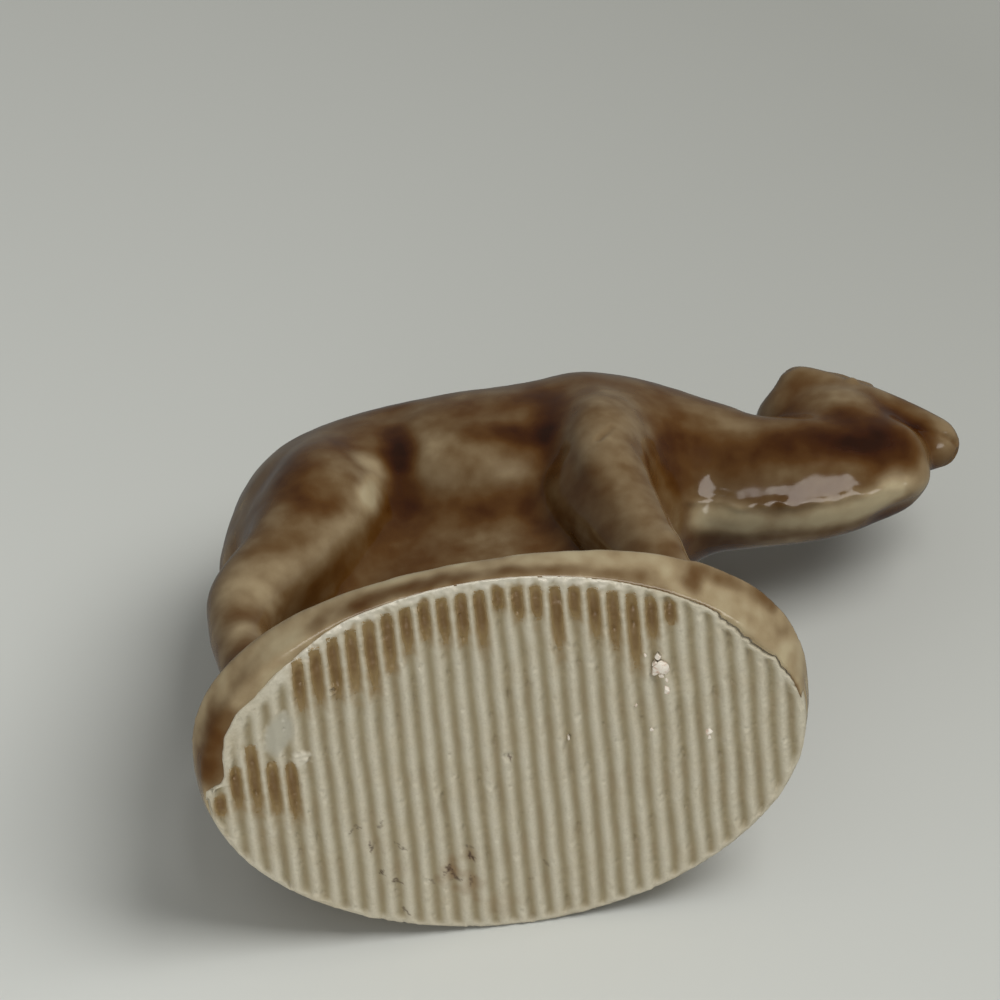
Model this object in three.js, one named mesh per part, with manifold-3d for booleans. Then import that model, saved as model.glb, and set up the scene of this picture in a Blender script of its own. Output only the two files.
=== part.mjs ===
// Small pressed porcelain camel standing on an oval plinth.
// The clay body carries the figure and a ribbed foot. A skin of fired glaze covers everything but the
// foot, and thin runs of glaze lie in the foot's grooves where it flowed over the edge.
// Millimetres, +Z up, +X towards the head. The origin is the middle of the foot, on its centre rib.

import * as THREE from 'three';
import { mergeVertices } from 'three/addons/utils/BufferGeometryUtils.js';
import Module from 'manifold-3d';

const wasm = await Module();
wasm.setup();

// Plinth and foot
const FOOT_LENGTH = 31.2;
const FOOT_WIDTH = 21.7;
const FOOT_POWER = 1.95;
const RIM_LENGTH = 32.1;
const RIM_WIDTH = 19.8;
const RIM_POWER = 2.27;
const RIM_TURN = THREE.MathUtils.degToRad(-2.8);
const RIM_SHIFT = -0.84;
const PLINTH_HEIGHT = 2.5;
const RIM_ROUND = 0.6;

// Ribs pressed into the foot
const RIB_PITCH = 0.96;
const GROOVE_MOUTH = 0.62;
const GROOVE_NECK = 0.42;
const GROOVE_FLOOR = 0.32;
const RIB_SHOULDER = 0.12;
const GROOVE_DEPTH = 0.4;
const GROOVE_OVERRUN = 0.1;
const LAND_OVER_GROOVES = 0.06;
const FOOT_LAND = 0.3;

// Glaze
const GLAZE = 0.35;
const GLAZE_GAP = 0.2;
const RUN_HEIGHT = 0.2;
const RUN_SIDE_GAP = 0.04;
const RUN_EDGE_GAP = 0.5;
const RUN_TIP_WIDTH = 0.12;

// Facets: the hidden faces between glaze and clay take a smaller share of them
const DOME_RINGS = 3;
const OVAL_SIDES = 64;
const WELD = 0.01;
const OUTER_SHARE = 1;
const INNER_SHARE = 0.7;

// Forms of the camel, each a loft with its sides, its steps from station to station, and its stations.
// Midline stations give x, z and the half sizes: side across Y, up on the back of the form, down on its
// belly. Limb stations give x, y, z and side, front, back. A planted form ends flat inside the plinth.
const midline = (x, z, side, up, down) => ({ centre: new THREE.Vector3(x, 0, z), side, up, down });
const limb = (x, y, z, side, front, back) => ({ centre: new THREE.Vector3(x, y, z), side, up: front, down: back });

const TRUNK_AND_NECK = {
  sides: 24,
  steps: 2,
  stations: [
    midline(-9.7, 19.4, 4.2, 4.4, 4.0),
    midline(-8.5, 20.6, 5.5, 6.2, 5.4),
    midline(-6.6, 21.7, 6.3, 7.2, 6.0),
    midline(-4.0, 22.4, 6.5, 7.4, 6.2),
    midline(0.4, 22.7, 6.8, 7.6, 6.9),
    midline(4.6, 23.0, 6.6, 7.6, 6.6),
    midline(7.8, 23.6, 6.7, 7.6, 7.0),
    midline(10.4, 24.2, 5.6, 6.2, 6.0),
    midline(12.9, 24.0, 4.3, 4.7, 4.7),
    midline(15.4, 23.1, 3.6, 3.8, 3.8),
    midline(18.8, 22.6, 3.4, 3.5, 3.4),
    midline(22.5, 22.9, 2.9, 2.9, 2.9),
  ],
};
const HUMP = {
  sides: 18,
  steps: 2,
  stations: [
    midline(-0.4, 26.2, 4.5, 8.2, 7.8),
    midline(-0.5, 28.6, 3.7, 6.9, 6.6),
    midline(-0.6, 30.6, 2.7, 5.3, 5.1),
    midline(-0.7, 32.3, 1.8, 3.4, 3.3),
  ],
};
const THROAT = {
  sides: 16,
  steps: 2,
  stations: [
    midline(21.2, 22.9, 3.0, 3.2, 3.0),
    midline(21.0, 25.0, 3.3, 3.8, 3.2),
    midline(20.0, 26.8, 3.1, 3.4, 3.0),
  ],
};
const HEAD = {
  sides: 16,
  steps: 2,
  stations: [
    midline(18.8, 27.8, 2.8, 2.5, 2.6),
    midline(21.2, 27.3, 2.8, 2.5, 2.4),
    midline(23.6, 26.1, 2.2, 2.0, 2.0),
    midline(25.2, 25.0, 1.7, 1.6, 1.6),
    midline(25.8, 24.6, 1.5, 1.4, 1.4),
  ],
};
const TAIL = {
  sides: 8,
  steps: 2,
  stations: [
    midline(-9.2, 25.0, 0.8, 0.9, 1.1),
    midline(-10.6, 22.6, 0.8, 0.9, 1.1),
    midline(-11.2, 19.8, 0.8, 0.8, 0.9),
    midline(-11.3, 17.8, 0.7, 0.7, 0.7),
  ],
};
const WEB = {
  sides: 20,
  steps: 1,
  planted: true,
  power: 3,
  stations: [
    midline(-1.0, 18.0, 4.2, 9.0, 8.0),
    midline(-1.2, 12.0, 3.6, 10.2, 9.2),
    midline(-1.2, 5.0, 3.4, 11.6, 10.8),
    midline(-1.2, 2.6, 3.6, 12.0, 11.2),
    midline(-1.2, 1.2, 3.8, 12.0, 11.2),
  ],
};
const HIND_LEG = {
  sides: 14,
  steps: 1,
  planted: true,
  stations: [
    limb(-6.6, 3.5, 23.6, 2.7, 3.2, 3.4),
    limb(-7.4, 4.3, 20.0, 3.2, 3.2, 3.4),
    limb(-8.2, 4.4, 17.2, 3.3, 3.7, 3.2),
    limb(-10.0, 4.5, 13.6, 2.8, 3.2, 2.5),
    limb(-12.4, 4.6, 9.8, 2.3, 2.4, 2.2),
    limb(-13.0, 4.6, 6.6, 1.9, 1.7, 1.5),
    limb(-12.7, 4.6, 4.2, 1.9, 1.9, 1.4),
    limb(-12.2, 4.5, 2.8, 2.1, 2.6, 1.6),
    limb(-12.1, 4.5, 1.2, 2.0, 2.4, 1.5),
  ],
};
const FORELEG = {
  sides: 14,
  steps: 1,
  planted: true,
  stations: [
    limb(7.3, 3.4, 25.2, 2.9, 3.3, 3.2),
    limb(7.3, 4.2, 21.0, 3.4, 3.0, 2.8),
    limb(7.3, 4.4, 16.8, 3.1, 2.5, 2.5),
    limb(8.1, 4.5, 12.8, 2.5, 2.1, 2.2),
    limb(9.0, 4.6, 9.2, 2.1, 1.7, 1.9),
    limb(9.7, 4.6, 6.2, 1.9, 1.5, 1.7),
    limb(10.2, 4.6, 4.0, 1.9, 1.9, 1.7),
    limb(10.6, 4.6, 2.8, 2.1, 2.4, 1.8),
    limb(10.6, 4.6, 1.2, 2.0, 2.2, 1.7),
  ],
};
const EAR = {
  sides: 8,
  steps: 1,
  stations: [
    limb(20.4, 1.5, 28.2, 1.6, 1.6, 1.5),
    limb(19.0, 2.0, 29.0, 1.3, 1.3, 1.2),
  ],
};

// Closed solid from rings of points, each ring with as many points, with a pole at either end
function solidFromRings(rings, firstPole, lastPole) {
  const count = rings[0].length;
  const points = [...rings.flat(), firstPole, lastPole];
  const [first, last] = [points.length - 2, points.length - 1];
  const faces = [];
  for (let side = 0; side < count; side++) {
    const next = (side + 1) % count;
    faces.push(first, next, side);
    for (let ring = 0; ring + 1 < rings.length; ring++) {
      const [low, high] = [ring * count, (ring + 1) * count];
      faces.push(low + side, low + next, high + next, low + side, high + next, high + side);
    }
    const end = (rings.length - 1) * count;
    faces.push(last, end + side, end + next);
  }
  const geometry = new THREE.BufferGeometry().setFromPoints(points);
  geometry.setIndex(faces);
  return solidFromGeometry(geometry);
}

function solidFromGeometry(geometry) {
  const bare = geometry.clone();
  bare.deleteAttribute('normal');
  bare.deleteAttribute('uv');
  const merged = mergeVertices(bare);
  const mesh = new wasm.Mesh({
    numProp: 3,
    vertProperties: new Float32Array(merged.attributes.position.array),
    triVerts: new Uint32Array(merged.index.array),
    tolerance: WELD,
  });
  return new wasm.Manifold(mesh);
}

const join = (solids) => solids.reduce((whole, solid) => whole.add(solid));

// Ring of a superellipse whose upper and lower halves may differ
function sectionRing(sides, centre, across, upward, side, up, down, power) {
  const ring = [];
  for (let i = 0; i < sides; i++) {
    const angle = (2 * Math.PI * i) / sides;
    const [c, s] = [Math.cos(angle), Math.sin(angle)];
    const reach = (Math.abs(c) ** power + Math.abs(s) ** power) ** (-1 / power);
    const height = s > 0 ? up : down;
    ring.push(centre.clone().addScaledVector(across, reach * c * side).addScaledVector(upward, reach * s * height));
  }
  return ring;
}

// Solid through a row of stations, with every surface pulled in by the inset
function loft({ sides, steps, stations, planted = false, power = 2 }, inset, share) {
  const spine = new THREE.CatmullRomCurve3(stations.map((s) => s.centre));
  const sizes = new THREE.CatmullRomCurve3(stations.map((s) => new THREE.Vector3(s.side, s.up, s.down)));
  const sizeAt = (u) => sizes.getPoint(u).subScalar(inset);
  const domeLength = (size) => Math.min(size.x, (size.y + size.z) / 2);
  const centreAt = (u, reach) => {
    return spine.getPoint(u).addScaledVector(spine.getTangent(u), reach * domeLength(sizeAt(u)));
  };
  const ringAt = (u, tilt = 0) => {
    const along = spine.getTangent(u);
    const across = new THREE.Vector3(0, 1, 0).addScaledVector(along, -along.y).normalize();
    const upward = along.clone().cross(across);
    const { x, y, z } = sizeAt(u).multiplyScalar(Math.cos(tilt));
    return sectionRing(2 * Math.round((sides * share) / 2), centreAt(u, Math.sin(tilt)), across, upward, x, y, z, power);
  };
  const rings = [];
  const count = (stations.length - 1) * steps;
  const tilt = (k) => (Math.PI / 2) * (k / DOME_RINGS);
  for (let k = DOME_RINGS - 1; k > 0; k--) rings.push(ringAt(0, -tilt(k)));
  for (let i = 0; i <= count; i++) rings.push(ringAt(i / count));
  for (let k = 1; k < DOME_RINGS && !planted; k++) rings.push(ringAt(1, tilt(k)));
  return solidFromRings(rings, centreAt(0, -1), centreAt(1, planted ? 0 : 1));
}

// The same form on the camel's other side
function otherSide(form) {
  const across = new THREE.Vector3(1, -1, 1);
  const stations = form.stations.map((s) => ({ ...s, centre: s.centre.clone().multiply(across) }));
  return { ...form, stations };
}

// The camel with its surface pulled in by the inset
function figure(inset, share) {
  const pairs = [HIND_LEG, FORELEG, EAR].flatMap((form) => [form, otherSide(form)]);
  return join([TRUNK_AND_NECK, HUMP, THROAT, HEAD, TAIL, WEB, ...pairs].map((form) => loft(form, inset, share)));
}

// Oval ring at a height, pulled in by the inset
function ovalRing(length, width, power, z, inset) {
  const ring = [];
  for (let i = 0; i < OVAL_SIDES; i++) {
    const angle = (2 * Math.PI * i) / OVAL_SIDES;
    const bend = (v) => Math.sign(v) * Math.abs(v) ** (2 / power);
    const x = (length / 2 - inset) * bend(Math.cos(angle));
    const y = (width / 2 - inset) * bend(Math.sin(angle));
    ring.push(new THREE.Vector3(x, y, z));
  }
  return ring;
}

const footRing = (z, inset) => ovalRing(FOOT_LENGTH, FOOT_WIDTH, FOOT_POWER, z, inset);

// The rim sits a little askew over the foot, and towards the camel's right
const turnAxis = new THREE.Vector3(0, 0, 1);
const rimShift = new THREE.Vector3(0, RIM_SHIFT, 0);
function rimRing(z, inset) {
  const ring = ovalRing(RIM_LENGTH, RIM_WIDTH, RIM_POWER, z, inset);
  return ring.map((point) => point.applyAxisAngle(turnAxis, RIM_TURN).add(rimShift));
}

// Ring of the plinth's wall, which leads from the foot's oval to the rim's
function wallRing(z, inset) {
  const rise = z / (PLINTH_HEIGHT - RIM_ROUND);
  const rim = rimRing(z, inset);
  return footRing(z, inset).map((point, i) => point.lerp(rim[i], rise));
}

const ovalSolid = (rings) => solidFromRings(
  rings,
  new THREE.Vector3(0, 0, rings[0][0].z),
  new THREE.Vector3(0, 0, rings[rings.length - 1][0].z),
);

function plinth(bottom, inset) {
  const top = PLINTH_HEIGHT - inset;
  const round = Math.max(RIM_ROUND - inset, RIM_ROUND / 4);
  const corner = round * (1 - Math.SQRT1_2);
  return ovalSolid([
    wallRing(bottom, inset),
    rimRing(top - round, inset),
    rimRing(top - corner, inset + corner),
    rimRing(top, inset + round),
  ]);
}

// Each groove is one outline, with rounded-off rib shoulders, drawn out along Y
function groove(x) {
  const outline = new THREE.Shape([
    new THREE.Vector2(-GROOVE_MOUTH / 2 - RIB_SHOULDER, -RIB_SHOULDER),
    new THREE.Vector2(GROOVE_MOUTH / 2 + RIB_SHOULDER, -RIB_SHOULDER),
    new THREE.Vector2(GROOVE_MOUTH / 2, 0),
    new THREE.Vector2(GROOVE_NECK / 2, RIB_SHOULDER),
    new THREE.Vector2(GROOVE_FLOOR / 2, GROOVE_DEPTH),
    new THREE.Vector2(-GROOVE_FLOOR / 2, GROOVE_DEPTH),
    new THREE.Vector2(-GROOVE_NECK / 2, RIB_SHOULDER),
    new THREE.Vector2(-GROOVE_MOUTH / 2, 0),
  ]);
  const length = Math.max(FOOT_WIDTH, RIM_WIDTH) + 2 * GROOVE_OVERRUN;
  const geometry = new THREE.ExtrudeGeometry(outline, { depth: length, bevelEnabled: false });
  geometry.rotateX(Math.PI / 2);
  geometry.translate(x, length / 2, 0);
  return solidFromGeometry(geometry);
}

const BARE_EDGE = GROOVE_DEPTH + LAND_OVER_GROOVES;
const grooveCount = 2 * Math.floor(FOOT_LENGTH / 2 / RIB_PITCH);
const grooveX = (index) => (index - (grooveCount - 1) / 2) * RIB_PITCH;

function clayBody() {
  const inset = GLAZE + GLAZE_GAP;
  const foot = ovalSolid([wallRing(0, 0), wallRing(BARE_EDGE, 0)]);
  const ribbedOval = ovalSolid([footRing(-BARE_EDGE, FOOT_LAND), footRing(BARE_EDGE, FOOT_LAND)]);
  const grooves = [];
  for (let index = 0; index < grooveCount; index++) grooves.push(groove(grooveX(index)));
  const body = join([foot, plinth(BARE_EDGE / 2, inset), figure(inset, INNER_SHARE)]);
  return body.subtract(join(grooves).intersect(ribbedOval));
}

function glazeCoat() {
  const bottom = BARE_EDGE + GLAZE_GAP;
  const outside = join([plinth(bottom, 0), figure(0, OUTER_SHARE)]);
  const inside = join([plinth(0, GLAZE), figure(GLAZE, INNER_SHARE)]);
  return outside.subtract(inside);
}

// Runs under the tail end lie along the first grooves, from one y to another
const END_RUNS = [[0.3, 1.7], [-1.4, 1.4], [-2.6, 1.7], [-1.4, 2.1], [-1.2, 2.4]];
// How far each run in the grooves after them reached in from the camel's right edge
const EDGE_RUNS = [
  3.5, 3.7, 4.0, 4.1, 4.6, 3.8, 3.0, 2.5, 3.0, 3.3, 3.6, 1.6, 2.2, 2.2, 4.1, 2.2, 3.3, 3.8, 4.8, 2.7, 1.5,
];

const footEdgeAt = (x) => (FOOT_WIDTH / 2) * (1 - (2 * Math.abs(x) / FOOT_LENGTH) ** FOOT_POWER) ** (1 / FOOT_POWER);

// Flat-backed bar on a groove's floor, tapering to the end that the glaze reached
function glazeRun(x, start, end) {
  const [wide, narrow] = [GROOVE_FLOOR / 2 - RUN_SIDE_GAP, RUN_TIP_WIDTH / 2];
  const outline = new THREE.Shape([
    new THREE.Vector2(x - wide, start),
    new THREE.Vector2(x + wide, start),
    new THREE.Vector2(x + narrow, end),
    new THREE.Vector2(x - narrow, end),
  ]);
  const geometry = new THREE.ExtrudeGeometry(outline, { depth: RUN_HEIGHT, bevelEnabled: false });
  geometry.translate(0, 0, GROOVE_DEPTH - RUN_HEIGHT);
  return geometry;
}

function glazeRuns() {
  const endRuns = END_RUNS.map(([start, end], i) => glazeRun(grooveX(i), start, end));
  const edgeRuns = EDGE_RUNS.map((reach, i) => {
    const x = grooveX(END_RUNS.length + i);
    const start = RUN_EDGE_GAP - footEdgeAt(x);
    return glazeRun(x, start, start + reach);
  });
  return [...endRuns, ...edgeRuns];
}

function meshGeometry(solid) {
  const { vertProperties, triVerts } = solid.getMesh();
  const geometry = new THREE.BufferGeometry();
  geometry.setAttribute('position', new THREE.BufferAttribute(new Float32Array(vertProperties), 3));
  geometry.setIndex(new THREE.BufferAttribute(new Uint32Array(triVerts), 1));
  geometry.computeVertexNormals();
  return geometry;
}

const biscuit = new THREE.MeshStandardMaterial({ color: '#d8ccb2', roughness: 0.75, metalness: 0 });
const honeyGlaze = new THREE.MeshStandardMaterial({ color: '#8a6238', roughness: 0.15, metalness: 0 });
const runGlaze = new THREE.MeshStandardMaterial({ color: '#9a7340', roughness: 0.25, metalness: 0 });

const camel = new THREE.Group();
const addPiece = (name, geometry, material) => {
  const piece = new THREE.Mesh(geometry, material);
  piece.name = name;
  camel.add(piece);
};
addPiece('clay_body', meshGeometry(clayBody()), biscuit);
addPiece('glaze_coat', meshGeometry(glazeCoat()), honeyGlaze);
glazeRuns().forEach((geometry, i) => {
  addPiece(`glaze_run_${String(i + 1).padStart(2, '0')}`, geometry, runGlaze);
});

export default camel;
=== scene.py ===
# %% [markdown]
# # A glazed miniature camel, seen from under its plinth
# The real object is a camel about 4 cm long, pressed from clay in a steel die, dipped in honey glaze and
# fired once. The picture shows it lying on its left side, so that the ribbed foot faces us. The packed
# CAD model is the fixed frame: every piece below keeps to the place that the frame gives.

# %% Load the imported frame
import itertools
import math

import bmesh
import bpy
import numpy as np
from mathutils import Matrix, Vector


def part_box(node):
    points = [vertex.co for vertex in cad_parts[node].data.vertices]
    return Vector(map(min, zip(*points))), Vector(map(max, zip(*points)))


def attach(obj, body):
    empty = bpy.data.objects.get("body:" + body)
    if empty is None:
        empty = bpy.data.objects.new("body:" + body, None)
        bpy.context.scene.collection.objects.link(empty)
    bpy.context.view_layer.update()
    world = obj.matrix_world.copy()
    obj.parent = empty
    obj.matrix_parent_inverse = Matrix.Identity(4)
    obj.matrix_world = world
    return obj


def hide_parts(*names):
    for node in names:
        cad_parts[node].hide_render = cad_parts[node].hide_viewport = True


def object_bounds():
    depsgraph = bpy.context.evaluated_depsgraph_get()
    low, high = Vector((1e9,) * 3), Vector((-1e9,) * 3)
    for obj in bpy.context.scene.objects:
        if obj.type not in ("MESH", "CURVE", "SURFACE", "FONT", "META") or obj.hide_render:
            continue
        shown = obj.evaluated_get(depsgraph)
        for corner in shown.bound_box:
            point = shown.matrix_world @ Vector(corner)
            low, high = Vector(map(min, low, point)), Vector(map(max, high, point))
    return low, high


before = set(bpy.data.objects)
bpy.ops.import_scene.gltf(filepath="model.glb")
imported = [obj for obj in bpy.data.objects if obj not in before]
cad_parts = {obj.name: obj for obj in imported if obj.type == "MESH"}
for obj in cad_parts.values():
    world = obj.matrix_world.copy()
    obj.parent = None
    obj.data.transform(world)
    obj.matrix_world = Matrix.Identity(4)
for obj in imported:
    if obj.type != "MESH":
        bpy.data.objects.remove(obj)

cad_low, cad_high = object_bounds()
MM = 0.001
scene = bpy.context.scene
print("frame nodes:", len(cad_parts), "box in mm:", [round(v / MM, 2) for v in (*cad_low, *cad_high)])

# %% [markdown]
# ## Small tools
# Colours are written as the eye sees them, in sRGB hex, and turned to linear light once. One function
# adds a shader node with its settings and links, and short ones add the kinds that come often. Meshes are
# worked out in millimetres with numpy, because a smooth pressed figure is easier to shape as one cloud of
# points than face by face, and are turned to metres at the end. `wander` is a soft random value that
# drifts over a given size, for everything that a hand or a kiln leaves uneven.


# %% Colour, node and mesh helpers
def linear(hex_colour):
    parts = [int(hex_colour[i:i + 2], 16) / 255 for i in (1, 3, 5)]
    return (*[c / 12.92 if c <= 0.04045 else ((c + 0.055) / 1.055) ** 2.4 for c in parts], 1.0)


def add_node(tree, kind, links=None, **settings):
    node = tree.nodes.new("ShaderNode" + kind)
    for name, value in settings.items():
        setattr(node, name, value)
    for socket, source in (links or {}).items():
        if isinstance(source, bpy.types.NodeSocket):
            tree.links.new(source, node.inputs[socket])
        else:
            node.inputs[socket].default_value = source
    return node


# The colour sockets of a Mix node share their names with its number sockets, so they are told apart by place
MIX_A, MIX_B, MIXED = 6, 7, 2


def noise(tree, place, per_metre, detail, roughness=0.5):
    settings = {"Vector": place, "Scale": per_metre, "Detail": detail, "Roughness": roughness}
    return add_node(tree, "TexNoise", settings).outputs["Fac"]


def remap(tree, value, low, high, to_low=0.0, to_high=1.0):
    settings = {"Value": value, "From Min": low, "From Max": high, "To Min": to_low, "To Max": to_high}
    return add_node(tree, "MapRange", settings).outputs["Result"]


def mix_colour(tree, amount, first, second):
    settings = {0: amount, MIX_A: first, MIX_B: second}
    return add_node(tree, "Mix", settings, data_type="RGBA").outputs[MIXED]


def bump(tree, strength, distance, height):
    settings = {"Strength": strength, "Distance": distance, "Height": height}
    return add_node(tree, "Bump", settings).outputs["Normal"]


def new_material(name):
    material = bpy.data.materials.new(name)
    material.use_nodes = True
    tree = material.node_tree
    tree.nodes.clear()
    return material, tree, add_node(tree, "TexCoord").outputs["Object"]


def new_object(name, points, faces, material):
    mesh = bpy.data.meshes.new(name)
    mesh.from_pydata((np.asarray(points) * MM).tolist(), [], faces)
    mesh.validate()
    mesh.shade_smooth()
    mesh.materials.append(material)
    made = bpy.data.objects.new(name, mesh)
    scene.collection.objects.link(made)
    return made


def store(made, name, values):
    layer = made.data.attributes.new(name, "FLOAT", "POINT")
    layer.data.foreach_set("value", np.asarray(values, np.float32))


def step(low, high, value):
    t = np.clip((value - low) / (high - low), 0, 1)
    return t * t * (3 - 2 * t)


def wander(points, size, seed):
    at = np.asarray(points, float) / size + seed * 7.31
    cell = np.floor(at).astype(np.int64)
    part = at - cell
    ease = part ** 3 * (part * (part * 6 - 15) + 10)
    total = np.zeros(len(at))
    for corner in itertools.product((0, 1), repeat=3):
        mixed = ((cell + corner) * (73856093, 19349663, 83492791)).sum(1) + seed * 7919
        mixed = mixed.astype(np.uint32)
        for shift, factor in ((15, 2246822519), (13, 3266489917), (16, 668265263)):
            mixed = (mixed ^ (mixed >> np.uint32(shift))) * np.uint32(factor)
        lean = np.stack([(mixed >> np.uint32(s) & np.uint32(1023)) / 511.5 - 1 for s in (2, 12, 22)], 1)
        share = np.prod(np.where(corner, ease, 1 - ease), axis=1)
        total += share * ((part - corner) * lean).sum(1)
    return 1.5 * total


# %% [markdown]
# ## Camera
# The place and lens were worked out from the oval of the foot and the pitch of its ribs. The lens is
# long, because a small thing fills the frame from far away. The image is square, so the lens is given for
# its full width.

# %% Camera at the picture's viewing angle
LENS = 244.8
SENSOR = 36.0
VIEWPOINT = Vector((-8.02, -198.72, -287.97)) * MM
RIGHT = Vector((0.9922, 0.0888, -0.0879)).normalized()
UP = Vector((0.1221, -0.8391, 0.5301))
UP = (UP - RIGHT * UP.dot(RIGHT)).normalized()
BACK = RIGHT.cross(UP)

camera_data = bpy.data.cameras.new("camera")
camera_data.lens = LENS
camera_data.sensor_width = SENSOR
camera_data.clip_start = 0.01
camera = bpy.data.objects.new("camera", camera_data)
camera.matrix_world = Matrix.Translation(VIEWPOINT) @ Matrix((RIGHT, UP, BACK)).transposed().to_4x4()
scene.collection.objects.link(camera)
scene.camera = camera
scene.view_settings.view_transform = "Standard"
print("camera", round(VIEWPOINT.length / MM), "mm from the foot")

# %% [markdown]
# ## Table and light
# The figure lies on a pale table: a plane that touches the plinth's left edge and runs along the left
# flank. It shows its front side only, so a view from behind still sees the camel. A second, level floor
# shows only from above, for views of the camel standing up. Both take the object's shadow. Neither stops
# a lamp or shows in the glaze, where it would lay a milky veil over the browns. A wide soft lamp stands
# over the head end, so the shadow falls at the tail end. A low lamp at the left rakes over the ribs, and
# a weak one behind the table lifts the edges. Two window panes are seen in reflections only: they make
# the shine under the neck. The room is darker in reflections than it is as a light, because a real room
# has dark corners too.

# %% Floor material
TABLE_NEAR = "#d5d7d4"
TABLE_FAR = "#a6a7a3"
TABLE_SPAN = (-28, 107)
SIDEWAYS_SHADE = 1.23
TOOTH_PER_METRE = 260.0

# Matt paper: no gloss at all, a faint tooth in waves of about 4 mm, and painted shade that makes it a little
# darker away from the lamps
table_paper, tree, place = new_material("table_paper")
grain_bump = bump(tree, 0.04, 0.0004, noise(tree, place, TOOTH_PER_METRE, 3.0))
across = add_node(tree, "SeparateXYZ", {"Vector": place})
sideways = add_node(tree, "Math", {0: across.outputs["X"], 1: SIDEWAYS_SHADE}, operation="MULTIPLY")
away = add_node(tree, "Math", {0: across.outputs["Z"], 1: sideways.outputs["Value"]}, operation="ADD")
far = remap(tree, away.outputs["Value"], TABLE_SPAN[0] * MM, TABLE_SPAN[1] * MM)
tone = mix_colour(tree, far, linear(TABLE_NEAR), linear(TABLE_FAR))
paper = add_node(tree, "BsdfDiffuse", {"Color": tone, "Normal": grain_bump})
clear = add_node(tree, "BsdfTransparent")
side = add_node(tree, "NewGeometry")
one_sided = add_node(tree, "MixShader", {
    "Fac": side.outputs["Backfacing"], 1: paper.outputs["BSDF"], 2: clear.outputs["BSDF"]})
add_node(tree, "OutputMaterial", {"Surface": one_sided.outputs["Shader"]})
print("table paper from", TABLE_NEAR, "to", TABLE_FAR)

# %% Table and level floor
TABLE_SIZE = 900
# Two points of the table: at the plinth's left edge and under the left flank
TABLE_REST = ((0.0, 10.88, 0.2), (0.0, 8.2, 17.4))
LEVEL_REST = (0.0, 0.0, -0.03)


def lay_plane(name, place, facing):
    turn = Vector(facing).to_track_quat("Z", "Y").to_matrix()
    half = TABLE_SIZE / 2
    corners = [Vector(place) + turn @ Vector((x, y, 0)) for x, y in
               ((-half, -half), (half, -half), (half, half), (-half, half))]
    plane = new_object(name, [tuple(c) for c in corners], [(0, 1, 2, 3)], table_paper)
    plane.visible_shadow = False
    plane.visible_glossy = False
    plane.visible_diffuse = name == "table"


edge, flank = (Vector(p) for p in TABLE_REST)
table_up = Vector((1, 0, 0)).cross(flank - edge).normalized()
if table_up.y > 0:
    table_up.negate()
lay_plane("table", edge, table_up)
lay_plane("level_floor", LEVEL_REST, (0, 0, 1))
print("table faces", [round(v, 3) for v in table_up])

# %% Lamps
LAMP_TARGET = Vector((4, 0, 14))
# Direction from the target, distance and size in mm, power in watts, colour
LAMPS = {
    "overhead": ((0.52, -0.81, -0.27), 380, (230, 230), 1.10, "#fffefa"),
    "front_fill": ((-0.52, 0.16, -0.84), 350, (260, 260), 0.51, "#fffefa"),
    "left_pane": ((-0.285, -0.27, -0.92), 300, (117, 225), 0.29, "#fffaf6"),
    "right_pane": ((0.29, -0.24, -0.925), 300, (222, 195), 0.48, "#fffaf6"),
    "rear_fill": ((-0.25, 0.75, 0.60), 360, (240, 240), 0.28, "#f8faff"),
}


def place_lamp(name, direction, distance, size, power, colour):
    lamp = bpy.data.lights.new(name, "AREA")
    lamp.shape = "RECTANGLE"
    lamp.size, lamp.size_y = (s * MM for s in size)
    lamp.energy = power
    lamp.color = linear(colour)[:3]
    stand = bpy.data.objects.new(name, lamp)
    aim = Vector(direction).normalized()
    stand.location = (LAMP_TARGET + aim * distance) * MM
    stand.rotation_mode = "QUATERNION"
    stand.rotation_quaternion = aim.to_track_quat("Z", "Y")
    stand.visible_camera = False
    stand.visible_glossy = name.endswith("pane")
    stand.visible_diffuse = not name.endswith("pane")
    scene.collection.objects.link(stand)


for lamp_name, settings in LAMPS.items():
    place_lamp(lamp_name, *settings)
print("lamps:", ", ".join(LAMPS))

# %% Room light
ROOM_COLOUR = "#f7f8f4"
ROOM_LIGHT = 0.34
ROOM_SHINE = 0.15
BACKGROUND_COLOUR = "#c6c7c2"

room = bpy.data.worlds.new("room")
room.use_nodes = True
room.node_tree.nodes.clear()
tree = room.node_tree
rays = add_node(tree, "LightPath")
shown = add_node(tree, "Background", {"Color": linear(BACKGROUND_COLOUR), "Strength": 1.0})
strength = remap(tree, rays.outputs["Is Glossy Ray"], 0.0, 1.0, ROOM_LIGHT, ROOM_SHINE)
lit = add_node(tree, "Background", {"Color": linear(ROOM_COLOUR), "Strength": strength})
sky = add_node(tree, "MixShader", {
    "Fac": rays.outputs["Is Camera Ray"], 1: lit.outputs["Background"], 2: shown.outputs["Background"]})
add_node(tree, "OutputWorld", {"Surface": sky.outputs["Shader"]})
scene.world = room
print("room light", ROOM_LIGHT, "and", ROOM_SHINE, "in reflections")

# %% [markdown]
# ## The plinth's oval and the edge of the glaze
# The foot is an oval a little slimmer than an ellipse, the rim above it a squarer one that sits slightly
# askew, as pressed clay leaves the die. Under the foot the glaze was wiped off by hand, so its edge
# wanders: at the two ends it laps under the foot by up to a millimetre, along the camel's right it stops
# at the rim, and along its left it stops just short of the foot.

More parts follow.
